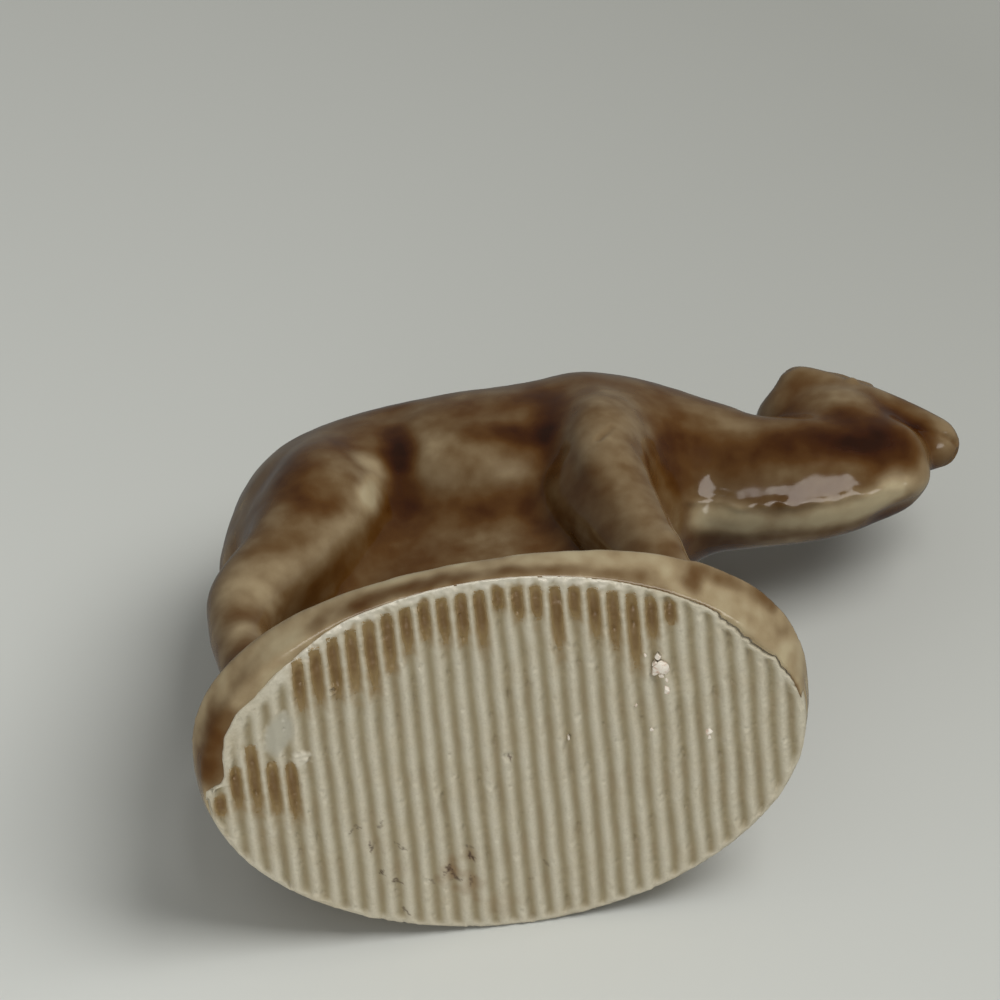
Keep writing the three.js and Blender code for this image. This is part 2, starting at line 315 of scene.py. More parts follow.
# %% Oval and glaze edge
FOOT_HALF = np.array([15.6, 10.85])
FOOT_POWER = 1.95
RIM_HALF = np.array([16.05, 9.9])
RIM_POWER = 2.27
RIM_TURN = math.radians(-2.8)
RIM_SHIFT = -0.84
PLINTH_HEIGHT = 2.5
RIM_ROUND = 0.6
WALL_TOP = PLINTH_HEIGHT - RIM_ROUND
OVAL_STEPS = 512
# How far the glaze laps under the foot, in mm, at so many degrees from the head end
LAP = [
    (0, 0), (176, 0), (180, 0.3), (182, 1.1), (184, 1.22), (190, 1.0), (198, 0.78), (206, 0.68), (212, 0.92),
    (220, 0.86), (227, 0.69), (235, 0.42), (242, 0.23), (255, 0.18), (275, 0.14), (295, 0.12), (308, 0.10),
    (316, 0.22), (323, 0.38), (330, 0.48), (338, 0.44), (346, 0.26), (352, 0.12), (356, 0), (360, 0),
]

angles = np.linspace(0, 2 * math.pi, OVAL_STEPS, endpoint=False)


def oval(half, power, inset):
    c, s = np.cos(angles), np.sin(angles)
    x = (half[0] - inset) * np.sign(c) * np.abs(c) ** (2 / power)
    y = (half[1] - inset) * np.sign(s) * np.abs(s) ** (2 / power)
    return np.stack([x, y], 1)


def wall_ring(z, inset=0.0):
    rise = np.clip(np.broadcast_to(z, angles.shape) / WALL_TOP, 0, 1)[:, None]
    c, s = math.cos(RIM_TURN), math.sin(RIM_TURN)
    rim = oval(RIM_HALF, RIM_POWER, inset) @ np.array([[c, s], [-s, c]]) + (0, RIM_SHIFT)
    return oval(FOOT_HALF, FOOT_POWER, inset) * (1 - rise) + rim * rise


round_about = np.stack([np.cos(angles) * 3, np.sin(angles) * 3, angles * 0], 1)
degrees = np.degrees(angles)
lap = np.interp(degrees, *zip(*LAP))
# The edge is ragged at the head end and nearly smooth elsewhere
raggedness = 0.12 + 0.88 * step(306, 318, degrees) * step(355, 348, degrees)
slow, quick = wander(round_about, 0.35, 3), wander(round_about, 0.1, 4)
lap = lap * (1 + 1.3 * raggedness * slow) + 0.2 * raggedness * quick * (lap > 0.02)
lap = np.clip(lap, 0, None)
lapped = step(0.01, 0.08, lap)
print("glaze laps under the foot by up to", round(float(lap.max()), 2), "mm")

# %% [markdown]
# ## The ribbed foot
# The die pressed 33 low ribs into the bare clay. They could be an array of bars, but real ribs sway, wear
# and chip, so the foot is one fine grid whose height is worked out at every point: rounded ribs, ends
# that close into a chipped land, a flat glassy patch, a stuck crumb and many small nicks. The grid
# reaches a little way under the lip of the glaze, and a short wall and a cap close it into a solid.


# %% Places on the foot's oval
def around(x, y):
    bend = FOOT_POWER / 2
    across = np.sign(y) * np.abs(y / FOOT_HALF[1]) ** bend
    return np.arctan2(across, np.sign(x) * np.abs(x / FOOT_HALF[0]) ** bend)


def lap_at(x, y):
    return np.interp(around(x, y), angles, lap, period=2 * math.pi)


def edge_distance(x, y):
    a, b = FOOT_HALF
    p = FOOT_POWER
    rho = (np.abs(x / a) ** p + np.abs(y / b) ** p) ** (1 / p) + 1e-9
    slope = rho ** (1 - p) * np.hypot(np.abs(x) ** (p - 1) / a ** p, np.abs(y) ** (p - 1) / b ** p)
    return (1 - rho) / np.maximum(slope, 1e-3)


def turned(x, y, place, half, degrees):
    c, s = math.cos(math.radians(degrees)), math.sin(math.radians(degrees))
    u = (x - place[0]) * c + (y - place[1]) * s
    v = (y - place[1]) * c - (x - place[0]) * s
    return np.hypot(u / half[0], v / half[1])


print("foot oval:", (2 * FOOT_HALF).tolist(), "mm")

# %% Nicks
NICKS = 520

rng = np.random.default_rng(11)
nick_spots = np.stack([rng.uniform(-15, 15, NICKS), rng.uniform(-10.5, 10.5, NICKS)], 1)
nick_sizes = rng.uniform(0.08, 0.24, NICKS)
nick_depths = rng.uniform(0.02, 0.10, NICKS)
print("nicks up to", round(float(nick_depths.max()), 2), "mm deep")

# %% Height of the foot
RIB_PITCH = 0.96
RIB_HEIGHT = 0.27
RIB_LEAN = 0.03
LEFT_LAND, RIGHT_LAND = 0.24, 0.54
GLASSY_PATCH = ((-11.45, -2.85), (0.75, 1.45), 20)
STUCK_CRUMB = (-10.42, -1.25, 0.62)
SMEAR = (9.4, -2.7, 1.1)
FOOT_PIT = (0.1, 0.21, 0.30)
PINHOLE = (-8.41, -5.19)
DEEPEST = 0.45


def chipped_stretch(x, y):
    return step(-1.0, -5.0, y) * step(-12.5, -9.0, x) * step(8.5, 5.5, x)


def foot_shape(x, y):
    # Distance from the glaze, and ribs that sway and close into the land
    flat = np.stack([x, y, x * 0], 1)
    lip = lap_at(x, y)
    clear = edge_distance(x, y) - lip
    ragged = clear + 0.14 * wander(flat, 0.6, 5) + 0.05 * wander(flat, 0.2, 15)
    sway = 0.08 * wander(flat, 4.0, 1) + 0.035 * wander(flat, 1.1, 2)
    phase = (x + sway) / RIB_PITCH
    leaning = phase - RIB_LEAN * (0.5 - 0.5 * np.cos(2 * math.pi * phase))
    groove = 0.5 - 0.5 * np.cos(2 * math.pi * leaning)
    land = LEFT_LAND + (RIGHT_LAND - LEFT_LAND) * step(-1.0, -5.0, y) * step(9.0, 6.0, x)
    closed = step(0.2, 1.9, ragged / land)
    smear = 1 - step(0.4, 1.1, np.hypot(x - SMEAR[0], y - SMEAR[1]) / SMEAR[2])
    depth = RIB_HEIGHT * (1 + 0.25 * wander(flat, 1.8, 8)) * closed * (1 - 0.5 * smear)
    height = depth * groove + 0.035 * (1 + wander(flat, 1.4, 9))
    height += 0.03 * wander(flat, 0.34, 10) + 0.018 * wander(flat, 0.14, 16)
    # Glassy patch and stuck crumb
    patch = 1 - step(0.6, 1.15, turned(x, y, *GLASSY_PATCH) + 0.15 * wander(flat, 0.5, 6))
    height += patch * (0.10 + 0.03 * wander(flat, 0.7, 12) - 0.62 * height)
    crumb = 1 - step(0.5, 1.0, np.hypot(x - STUCK_CRUMB[0], y - STUCK_CRUMB[1]) / STUCK_CRUMB[2]
                     + 0.3 * wander(flat, 0.35, 7))
    height += crumb * (0.05 + 0.06 * wander(flat, 0.25, 13) - height)
    # Nicks, a pit and a pinhole with a raised ring
    for spot, size, deep in zip(nick_spots, nick_sizes, nick_depths):
        near = np.flatnonzero(np.abs(x - spot[0]) < size)
        d = np.hypot(x[near] - spot[0], (y[near] - spot[1]) * 0.7) / size
        height[near] += deep * (1 - step(0.2, 1.0, d))
    pit = np.hypot(x - FOOT_PIT[0], y - FOOT_PIT[1]) / FOOT_PIT[2]
    height += 0.18 * (1 - step(0.3, 1.0, pit + 0.3 * wander(flat, 0.2, 14)))
    hole = np.hypot(x - PINHOLE[0], y - PINHOLE[1])
    height += 0.16 * (1 - step(0.05, 0.14, hole)) - 0.10 * np.exp(-((hole - 0.24) / 0.08) ** 2)
    # Worn edge, the tuck under the lip, and the chipped land
    height += 0.14 * (1 - step(0.0, 0.28, ragged)) ** 2 * (1 - step(0.05, 0.15, lip))
    tuck = 0.15 * step(8.0, 2.0, x)
    under = step(0.05 - tuck, -0.14 - tuck, clear) * step(0.01, 0.08, lip)
    height += under * (0.30 - 0.7 * height)
    chipped = (1 - closed) * chipped_stretch(x, y)
    height += 0.12 * chipped * np.abs(wander(flat, 0.42, 17))
    hollow = groove ** 1.7 * closed * (1 - patch) * (1 - crumb)
    marks = {"groove": hollow, "clear": clear, "glassy": patch, "crumb": crumb}
    return np.clip(height, 0.0, DEEPEST), marks


# %% Grid of the foot
COLUMNS_PER_RIB = 16
FOOT_ROWS = 240
END_GAP = 0.012

outline = wall_ring(0, 0.02 + np.minimum(0.6 * lap, 0.35))
upper, lower = outline[: OVAL_STEPS // 2 + 1], np.vstack([outline[OVAL_STEPS // 2:], outline[:1]])
left_end, right_end = outline[:, 0].min() + END_GAP, outline[:, 0].max() - END_GAP
columns = int((right_end - left_end) / RIB_PITCH * COLUMNS_PER_RIB)
column_x = np.linspace(left_end, right_end, columns)


def half_at(half):
    order = np.argsort(half[:, 0])
    return np.interp(column_x, half[order, 0], half[order, 1])


def grid_faces(columns, rows):
    index = np.arange(columns * rows).reshape(columns, rows)
    quads = np.stack([index[:-1, :-1], index[:-1, 1:], index[1:, 1:], index[1:, :-1]], -1).reshape(-1, 4)
    loop = np.concatenate([index[:, 0], index[-1, 1:], index[-2::-1, -1], index[0, -2:0:-1]])
    return quads, loop


top_y, bottom_y = half_at(upper), half_at(lower)
rows = np.linspace(0, 1, FOOT_ROWS)
grid_x = np.repeat(column_x, FOOT_ROWS)
grid_y = (bottom_y[:, None] + (top_y - bottom_y)[:, None] * rows).ravel()
grid_z, foot_marks = foot_shape(grid_x, grid_y)
foot_points = np.stack([grid_x, grid_y, grid_z], 1)
quads, loop = grid_faces(columns, FOOT_ROWS)
print("foot grid:", columns, "by", FOOT_ROWS, "points")

# %% Wall and cap of the foot
# Inset and height of each ring above the grid's edge, in mm
FOOT_WALL = ((0.0, 0.46), (0.45, 0.50), (0.5, 0.60))

faces = quads.tolist()
count = len(loop)
start = columns * FOOT_ROWS
rim_xy = foot_points[loop, :2]
rim_angle = around(rim_xy[:, 0], rim_xy[:, 1])
previous = loop
for inset, z in FOOT_WALL:
    shift = wall_ring(z, inset) - wall_ring(0)
    moved = np.stack([np.interp(rim_angle, angles, shift[:, k], period=2 * math.pi) for k in (0, 1)], 1)
    foot_points = np.vstack([foot_points, np.column_stack([rim_xy + moved, np.full(count, z)])])
    ring = np.arange(start, start + count)
    faces += np.stack([previous, np.roll(previous, -1), np.roll(ring, -1), ring], 1).tolist()
    previous, start = ring, start + count
foot_points = np.vstack([foot_points, [[0.0, 0.0, FOOT_WALL[-1][1]]]])
faces += [(int(a), int(b), start) for a, b in zip(previous, np.roll(previous, -1))]
print("ribbed foot:", len(foot_points), "points,", len(faces), "faces")

# %% [markdown]
# ## Biscuit
# Bare fired clay is called biscuit: matt, slightly gritty and cream. Rubbing keeps the ribs pale. The
# grooves are darker, partly stained by kiln dust and handling and partly painted shade. Where the rim was
# chipped the clay is whiter and glints a little, and white specks painted there stand in for more glints.
# Grit in such clay is about 0.1 mm. Dirt sits in branching specks, which are worked out as short random
# walks and stored with the mesh, because a noise pattern would spread them evenly over the whole foot.

# %% Biscuit material
BISCUIT_CREST = "#b9b29f"
GROOVE_STAIN_AND_SHADE = "#8b7f61"
BISCUIT_WARM = "#b0a58d"
BISCUIT_DUST = "#968d79"
BISCUIT_CHIP_AND_GLINT = "#cbc5b6"
BISCUIT_GLASS = "#a4a193"
STAIN_COLOUR = "#846d45"
SOIL_COLOUR = "#795c37"
DIRT_COLOUR = "#3a200d"
BISCUIT_ROUGHNESS = 0.68
GLASSY_ROUGHNESS = 0.26
GLASS_IOR = 1.5
GRIT_PER_METRE = 1 / (0.12 * MM)
CLOUD_PER_METRE = 1 / (2.4 * MM)

# Unglazed fired clay: no shine, so the eye sees only soft shading, grit and stains
biscuit, tree, place = new_material("bare_biscuit")
marked = {name: add_node(tree, "Attribute", attribute_name=name).outputs["Fac"]
          for name in ("groove", "chip_white_and_glint", "soil", "stain", "glassy", "dirt")}
clouds = noise(tree, place, CLOUD_PER_METRE, 4.0, 0.6)
grit = noise(tree, place, GRIT_PER_METRE, 3.0)
# In the grooves the colour is part stain and part painted shade
layers = [
    (remap(tree, clouds, 0.42, 0.70, to_high=0.6), BISCUIT_WARM), (marked["groove"], GROOVE_STAIN_AND_SHADE),
    (remap(tree, grit, 0.48, 0.70, to_high=0.25), BISCUIT_DUST), (marked["stain"], STAIN_COLOUR),
    # The chip colour also paints white glints along the rim
    (marked["soil"], SOIL_COLOUR), (marked["chip_white_and_glint"], BISCUIT_CHIP_AND_GLINT), (marked["glassy"], BISCUIT_GLASS),
    (marked["dirt"], DIRT_COLOUR),
]
surface = linear(BISCUIT_CREST)
for amount, colour in layers:
    surface = mix_colour(tree, amount, surface, linear(colour))
shine = add_node(tree, "Math", {0: marked["chip_white_and_glint"], 1: marked["glassy"]}, operation="MAXIMUM")
roughness = remap(tree, shine.outputs["Value"], 0.0, 1.0, BISCUIT_ROUGHNESS, GLASSY_ROUGHNESS)
clay = add_node(tree, "BsdfPrincipled", {
    "Base Color": surface, "Roughness": roughness, "Normal": bump(tree, 0.25, 0.00003, grit),
    "IOR": GLASS_IOR})
add_node(tree, "OutputMaterial", {"Surface": clay.outputs["BSDF"]})
print("biscuit marks:", ", ".join(marked))

# %% Stains, soil and dirt
# Place, size in mm and strength
STAINS = [
    (-3.4, 7.0, 1.1, 0.75), (-2.5, 8.0, 1.3, 0.60), (-2.5, 6.2, 0.7, 0.50), (-7.3, 4.6, 0.9, 0.2),
    # The spot at (8.4, -4.1) darkens the foot round the big kiln crumb
    (8.4, -4.1, 0.8, 0.35), (-1.0, 9.4, 1.2, 0.30), (-6.2, 6.4, 0.8, 0.25), (6.3, 5.6, 0.5, 0.2),
    (11.0, 2.6, 0.6, 0.2), (-12.6, 3.6, 1.2, 0.2),
]
# Place, number of arms and strength
DIRT_SPOTS = [
    (-3.56, 6.77, 9, 0.9), (-3.30, 7.38, 7, 0.8), (-2.42, 6.30, 6, 0.9), (-2.46, 5.59, 3, 0.5),
    (-2.55, 7.76, 5, 0.6), (-7.16, 6.60, 3, 0.9), (-7.49, 4.70, 3, 0.8), (-6.32, 7.18, 4, 0.8),
    (-6.19, 9.07, 3, 0.7), (-8.16, 3.58, 3, 0.6), (-6.73, 3.35, 3, 0.6), (-5.79, 4.96, 3, 0.6),
    (-4.43, 7.60, 2, 0.5), (1.62, 7.43, 2, 0.4), (0.55, 8.23, 2, 0.3), (0.15, 0.30, 3, 0.8),
    (-8.36, -5.11, 3, 0.4),
]
DIRT_STEP = 0.07
DIRT_TAPER = 0.88

flat = np.column_stack([grid_x, grid_y, grid_x * 0])
blotch = wander(flat, 0.5, 21)
foot_soil = 0.14 * foot_marks["groove"] * step(-0.2, 0.5, wander(flat, 1.6, 22))
for x, y, size, amount in STAINS:
    spread = 1 - step(0.1, 1.0, np.hypot(grid_x - x, grid_y - y) / size + 0.4 * blotch)
    foot_soil = np.maximum(foot_soil, amount * spread * (0.5 + 0.5 * foot_marks["groove"]))

rng = np.random.default_rng(23)
foot_dirt = np.zeros(len(grid_x))
for x, y, arms, strength in DIRT_SPOTS:
    for _ in range(arms):
        at = rng.normal((x, y), 0.05)
        heading = rng.uniform(0, 2 * math.pi)
        size = rng.uniform(0.07, 0.13)
        for _ in range(rng.integers(2, 8)):
            heading += rng.normal(0, 0.7)
            at = at + DIRT_STEP * np.array([math.cos(heading), math.sin(heading)])
            size *= DIRT_TAPER
            near = np.flatnonzero((np.abs(grid_x - at[0]) < size) & (np.abs(grid_y - at[1]) < size))
            spot = np.hypot(grid_x[near] - at[0], grid_y[near] - at[1]) / size
            foot_dirt[near] = np.maximum(foot_dirt[near], strength * (1 - step(0.1, 1.0, spot)))
print("specks of dirt on", int((foot_dirt > 0.4).sum()), "points")

# %% Stain beside the runs of glaze
run_nodes = sorted(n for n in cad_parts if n.startswith("glaze_run"))
run_boxes = {node: [np.array(corner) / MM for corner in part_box(node)] for node in run_nodes}
foot_stain = np.zeros(len(grid_x))
for low, high in run_boxes.values():
    off = np.abs(grid_x - (low[0] + high[0]) / 2) + 0.05 * blotch
    along = (grid_y - low[1]) / (high[1] - low[1]) + 0.25 * wander(flat, 0.7, 23)
    soaked = (1 - step(0.20, 0.54, off)) * step(-0.05, 0.25, along) * (1 - step(0.7, 1.35, along))
    foot_stain = np.maximum(foot_stain, 0.95 * soaked)
print("stained by runs:", len(run_boxes), "grooves")

# %% The foot as a piece
ribbed_foot = new_object("ribbed_foot", foot_points, faces, biscuit)
rest = len(foot_points) - len(grid_x)
# Pale chipped clay along the rim; its fine white specks are painted glints, and the stuck crumb is pale too
chip_white_and_glint = 1 - step(0.02, 0.56, foot_marks["clear"] + 0.45 * blotch + 0.2 * wander(flat, 0.22, 24))
chip_white_and_glint *= chipped_stretch(grid_x, grid_y)
chip_white_and_glint = np.maximum(0.85 * chip_white_and_glint, 0.45 * foot_marks["crumb"])
for name, values in (("groove", foot_marks["groove"]), ("soil", foot_soil), ("chip_white_and_glint", chip_white_and_glint),
                     ("stain", foot_stain), ("glassy", 0.75 * foot_marks["glassy"]), ("dirt", foot_dirt)):
    store(ribbed_foot, name, np.concatenate([values, np.zeros(rest)]))
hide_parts("clay_body")
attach(ribbed_foot, "root")
print("foot lies between z", round(float(grid_z.min()), 3), "and", round(float(grid_z.max()), 3), "mm")

# %% [markdown]
# ## The glazed camel
# Thick glaze rounds every edge of the pressing. The CAD coat gives the camel's form in flat facets, so
# its outer skin is taken as a closed solid, joined with a finer plinth, and turned into one even mesh by
# a voxel remesh. That mesh is then blurred, and the blur of what was lost is added back, which takes out
# facets without shrinking the body. Subdividing the CAD mesh would keep its creases, and sculpting by
# hand can't be run again from a script. The CAD coat has a fold between haunch and tail where the fired
# rump is round, so a hull over each side of the rump fills it.


# %% Outer skin of the CAD coat
def points_and_faces(work):
    work.verts.index_update()
    points = np.array([v.co[:] for v in work.verts])
    faces = [[v.index for v in f.verts] for f in work.faces]
    work.free()
    return points, faces


def outer_skin(node):
    skin = bmesh.new()
    skin.from_mesh(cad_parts[node].data)
    bmesh.ops.remove_doubles(skin, verts=skin.verts, dist=1e-6)
    floor = min(v.co.z for v in skin.verts) + 0.02 * MM
    sole = [f for f in skin.faces if f.normal.z < -0.98 and all(v.co.z < floor for v in f.verts)]
    bmesh.ops.delete(skin, geom=sole, context="FACES")
    unseen = set(skin.verts)
    groups = []
    while unseen:
        todo = [unseen.pop()]
        group = []
        while todo:
            vert = todo.pop()
            group.append(vert)
            for link in vert.link_edges:
                other = link.other_vert(vert)
                if other in unseen:
                    unseen.remove(other)
                    todo.append(other)
        groups.append(group)
    groups.sort(key=lambda group: max(v.co.z for v in group))
    hidden = [v for group in groups[:-1] for v in group]
    bmesh.ops.delete(skin, geom=hidden, context="VERTS")
    rim = [e for e in skin.edges if e.is_boundary]
    bmesh.ops.holes_fill(skin, edges=rim, sides=0)
    bmesh.ops.triangulate(skin, faces=skin.faces)
    bmesh.ops.recalc_face_normals(skin, faces=skin.faces)
    points, faces = points_and_faces(skin)
    return points / MM, faces


coat_points, coat_faces = outer_skin("glaze_coat")
print("outer skin of the coat:", len(coat_points), "points")

# %% Hulls over the rump
RUMP_FRONT = -6.5
RUMP_INNER = -1.0
RUMP_LOW, RUMP_HIGH = 11.0, 27.0


def hull_of(points):
    shell = bmesh.new()
    for point in points:
        shell.verts.new(point)
    made = bmesh.ops.convex_hull(shell, input=shell.verts)
    spare = {v for key in ("geom_interior", "geom_unused") for v in made[key]
             if isinstance(v, bmesh.types.BMVert)}
    bmesh.ops.delete(shell, geom=list(spare), context="VERTS")
    return points_and_faces(shell)


x, y, z = coat_points.T
right_rump = coat_points[(x < RUMP_FRONT) & (y < RUMP_INNER) & (z > RUMP_LOW) & (z < RUMP_HIGH)]
rump_hulls = [hull_of(right_rump), hull_of(right_rump * (1, -1, 1))]
print("hull over the rump:", len(rump_hulls[0][0]), "points")

# %% Finer plinth with the lip of the glaze
LIP_LOW = 0.03
BARE_EDGE = 0.5
RECESS = 0.68
WALL_MIDDLE = 1.1
LEAST_LIP = 0.25


def plinth_solid():
    low = BARE_EDGE + (LIP_LOW - BARE_EDGE) * lapped
    width = np.maximum(lap, LEAST_LIP)
    corner = RIM_ROUND * (1 - math.sqrt(0.5))
    top = PLINTH_HEIGHT
    rings = [
        (RECESS, width + 0.05), (low + 0.12, width), (low + 0.03, 0.75 * width), (low, 0.45 * width),
        (low + 0.06, 0.16 * width), (low + 0.28, 0.0), (WALL_MIDDLE, 0.0), (WALL_TOP, 0.0),
        (top - corner, corner), (top, RIM_ROUND),
    ]
    points = [np.column_stack([wall_ring(z, inset), np.broadcast_to(z, angles.shape)]) for z, inset in rings]
    total = OVAL_STEPS * len(rings)
    points = np.vstack(points + [[[0, 0, RECESS]], [[0, 0, top]]])
    i = np.arange(OVAL_STEPS)
    j = np.roll(i, -1)
    faces = [(total, int(b), int(a)) for a, b in zip(i, j)]
    for k in range(len(rings) - 1):
        a, b = k * OVAL_STEPS, (k + 1) * OVAL_STEPS
        faces += np.stack([a + i, a + j, b + j, b + i], 1).tolist()
    last = (len(rings) - 1) * OVAL_STEPS
    faces += [(last + int(a), last + int(b), total + 1) for a, b in zip(i, j)]
    return points, faces


plinth = plinth_solid()
print("plinth:", len(plinth[0]), "points")

# %% One even skin
VOXEL = 0.15


def even_mesh(solids, voxel):
    points, faces = [], []
    for some_points, some_faces in solids:
        start = sum(len(p) for p in points)
        points.append(some_points)
        faces += [[start + int(i) for i in face] for face in some_faces]
    raw = bpy.data.meshes.new("raw")
    raw.from_pydata(np.vstack(points).tolist(), [], faces)
    holder = bpy.data.objects.new("raw", raw)
    scene.collection.objects.link(holder)
    remesh = holder.modifiers.new("even", "REMESH")
    remesh.mode = "VOXEL"
    remesh.voxel_size = voxel
    graph = bpy.context.evaluated_depsgraph_get()
    made = bpy.data.meshes.new_from_object(holder.evaluated_get(graph))
    points = np.empty(len(made.vertices) * 3)
    made.vertices.foreach_get("co", points)
    edges = np.empty(len(made.edges) * 2, np.int64)
    made.edges.foreach_get("vertices", edges)
    quads = np.empty(len(made.loops), np.int64)
    made.loops.foreach_get("vertex_index", quads)
    bpy.data.objects.remove(holder)
    bpy.data.meshes.remove(raw)
    bpy.data.meshes.remove(made)
    return points.reshape(-1, 3), edges.reshape(-1, 2), quads.reshape(-1, 4)


skin, skin_edges, skin_quads = even_mesh([(coat_points, coat_faces), *rump_hulls, plinth], VOXEL)
print("even skin:", len(skin), "points")


# %% Smoothing and surface normals
def neighbours_mean(points):
    total = np.empty_like(points)
    a, b = skin_edges.T
    size = len(points)
    for axis in range(points.shape[1]):
        total[:, axis] = np.bincount(a, points[b, axis], size) + np.bincount(b, points[a, axis], size)
    return total / np.bincount(skin_edges.ravel(), minlength=size)[:, None]


def blur(points, rounds, weight):
    for _ in range(rounds):
        points = points + (0.5 * weight)[:, None] * (neighbours_mean(points) - points)
    return points


def soften(points, rounds, weight):
    once = blur(points, rounds, weight)
    return once + blur(points - once, rounds, weight)


def surface_normals(points):
    corners = points[skin_quads]
    flat = np.cross(corners[:, 2] - corners[:, 0], corners[:, 3] - corners[:, 1])
    out = np.zeros_like(points)
    for k in range(4):
        for axis in range(3):
            out[:, axis] += np.bincount(skin_quads[:, k], flat[:, axis], len(points))
    return out / (np.linalg.norm(out, axis=1)[:, None] + 1e-12)


on_camel = step(2.4, 3.6, skin[:, 2])
skin = soften(skin, 5, np.ones(len(skin)))
skin = soften(skin, 70, on_camel)
body = step(3.0, 6.5, skin[:, 2]) * step(14.5, 11.5, skin[:, 0])
skin = soften(skin, 220, body)
print("smoothed; box", skin.min(0).round(2), skin.max(0).round(2))

# %% [markdown]
# ## Modelling the muscles and the face
# The die had soft modelling cut into it: a groove before and behind the belly, a full thigh, a shoulder
# blade, a keel under the neck where the two halves of the die met. Each is a stroke, as with a sculptor's
# tool: a path in millimetres, a reach and a height along the surface. The camel's two sides match, so a
# stroke is made on both.


# %% Strokes
def distance_to(points, path):
    path = np.asarray(path, float)
    best = np.full(len(points), np.inf)
    if len(path) == 1:
        return np.linalg.norm(points - path[0], axis=1)
    for a, b in zip(path[:-1], path[1:]):
        along = b - a
        t = np.clip(((points - a) @ along) / (along @ along), 0, 1)
        best = np.minimum(best, np.linalg.norm(points - a - t[:, None] * along, axis=1))
    return best


def falloff(points, path, reach):
    return np.clip(1 - (distance_to(points, path) / reach) ** 2, 0, 1) ** 2


def both_sides(points, path, reach):
    mirrored = [(x, -y, z) for x, y, z in path]
    return np.maximum(falloff(points, path, reach), falloff(points, mirrored, reach))


BELLY_FRONT = [(5.2, -6.6, 24.0), (4.9, -6.4, 21.6), (4.8, -5.7, 19.7), (4.8, -5.1, 17.8)]
BELLY_REAR = [
    (-3.4, -6.6, 24.0), (-3.4, -6.5, 22.3), (-3.4, -6.0, 20.1), (-3.4, -5.0, 18.6), (-3.2, -4.3, 17.8)]
BELLY_UNDER = [
    (-3.0, -4.1, 17.7), (-1.1, -4.1, 17.2), (1.6, -4.0, 16.8), (3.7, -3.8, 17.0), (4.7, -3.8, 17.6)]
THIGH_UNDER = [
    (-3.7, -4.2, 17.4), (-5.5, -4.4, 14.7), (-7.2, -4.6, 12.0), (-9.2, -4.6, 9.6), (-10.3, -4.6, 8.4)]
THIGH_EDGE = [
    (-4.1, -6.3, 20.8), (-4.3, -5.8, 19.1), (-4.9, -5.7, 16.8), (-6.8, -5.8, 13.6), (-8.4, -5.9, 11.4),
    (-10.4, -5.7, 8.9)]
SHOULDER_REAR = [
    (4.9, -4.8, 17.2), (5.0, -4.5, 16.1), (5.6, -4.4, 13.6), (6.6, -4.4, 10.4), (7.8, -4.4, 6.8)]
FORELEG_FRONT = [
    (9.9, -5.8, 18.0), (9.9, -6.1, 14.8), (10.2, -6.1, 11.6), (10.5, -6.0, 8.6), (11.0, -5.8, 5.4)]
RUMP_FOLD = [
    (-10.1, -4.2, 24.9), (-10.9, -4.2, 22.5), (-11.8, -3.3, 21.2), (-12.6, -2.9, 19.1), (-13.4, -1.7, 18.7)]
FILLETS = [
    (RUMP_FOLD, 4.4), (SHOULDER_REAR, 3.6), (BELLY_FRONT, 2.6), (BELLY_UNDER, 2.4), (THIGH_UNDER, 2.4)]
FILLET_ROUNDS = 220
# Path, reach and height, in mm
STROKES = [
    (BELLY_FRONT, 1.8, -0.12), (BELLY_REAR, 1.9, -0.22), (BELLY_UNDER, 1.4, 0.10), (RUMP_FOLD, 2.6, 0.10),
    (THIGH_EDGE, 1.6, 0.12), (SHOULDER_REAR, 2.2, 0.55), (FORELEG_FRONT, 1.0, 0.14),
    ([(0.2, -6.0, 19.6), (1.8, -5.9, 19.4)], 3.4, 0.34), ([(7.4, -7.4, 19.4), (7.6, -7.3, 16.6)], 2.6, 0.16),
    ([(-8.0, -7.3, 18.0)], 3.4, 0.22), ([(-12.8, -5.6, 9.6)], 1.5, 0.16), ([(10.0, -6.3, 9.0)], 1.2, 0.12),
    ([(22.6, -1.7, 20.5), (23.7, -1.3, 21.1)], 1.8, -0.35),
]
RUMP_FILL = 0.6
RUMP_OUT, RUMP_DOWN = 0.54, 0.84
RUMP_REACH = 3.2
NICK = [(7.2, -7.5, 17.3), (7.7, -7.4, 17.9), (8.0, -7.3, 18.5)]

skin = blur(skin, FILLET_ROUNDS, np.max([both_sides(skin, path, reach) for path, reach in FILLETS], axis=0))
normals = surface_normals(skin)
for path, reach, height in STROKES:
    skin = skin + normals * (height * both_sides(skin, path, reach))[:, None]
for side in (1, -1):
    path = [(x, side * y, z) for x, y, z in RUMP_FOLD]
    push = (0.0, -RUMP_OUT * side * RUMP_FILL, -RUMP_DOWN * RUMP_FILL)
    skin = skin + falloff(skin, path, RUMP_REACH)[:, None] * push
skin = soften(skin, 40, on_camel)
skin = skin - surface_normals(skin) * (0.14 * falloff(skin, NICK, 0.32))[:, None]
print("strokes:", len(STROKES), "on each side")

# %% Face, toes, hooves and the die's seam
EYE = (21.8, -2.4, 27.9)
BROW = [(20.8, -2.3, 28.8), (21.8, -2.1, 28.9), (22.8, -1.8, 28.5)]
NOSTRIL = [(26.0, -0.9, 25.4), (26.5, -0.6, 25.0)]
MOUTH = [(27.0, -0.3, 23.9), (26.1, -1.3, 23.7), (24.5, -1.7, 24.4), (23.5, -1.9, 25.1)]
EAR_HOLLOW = [(18.9, -2.9, 29.2), (18.2, -3.0, 29.5)]
JAW = [(21.0, -2.6, 25.2), (22.6, -2.2, 25.0), (24.0, -1.8, 24.6)]
THROAT = [(20.0, -2.7, 25.2), (22.0, -2.4, 24.8), (23.4, -2.0, 24.2)]
FORE_TOES = [(12.7, -4.6, 3.2), (12.1, -4.6, 4.4)]
HIND_TOES = [(-9.4, -4.5, 3.2), (-10.1, -4.5, 4.4)]
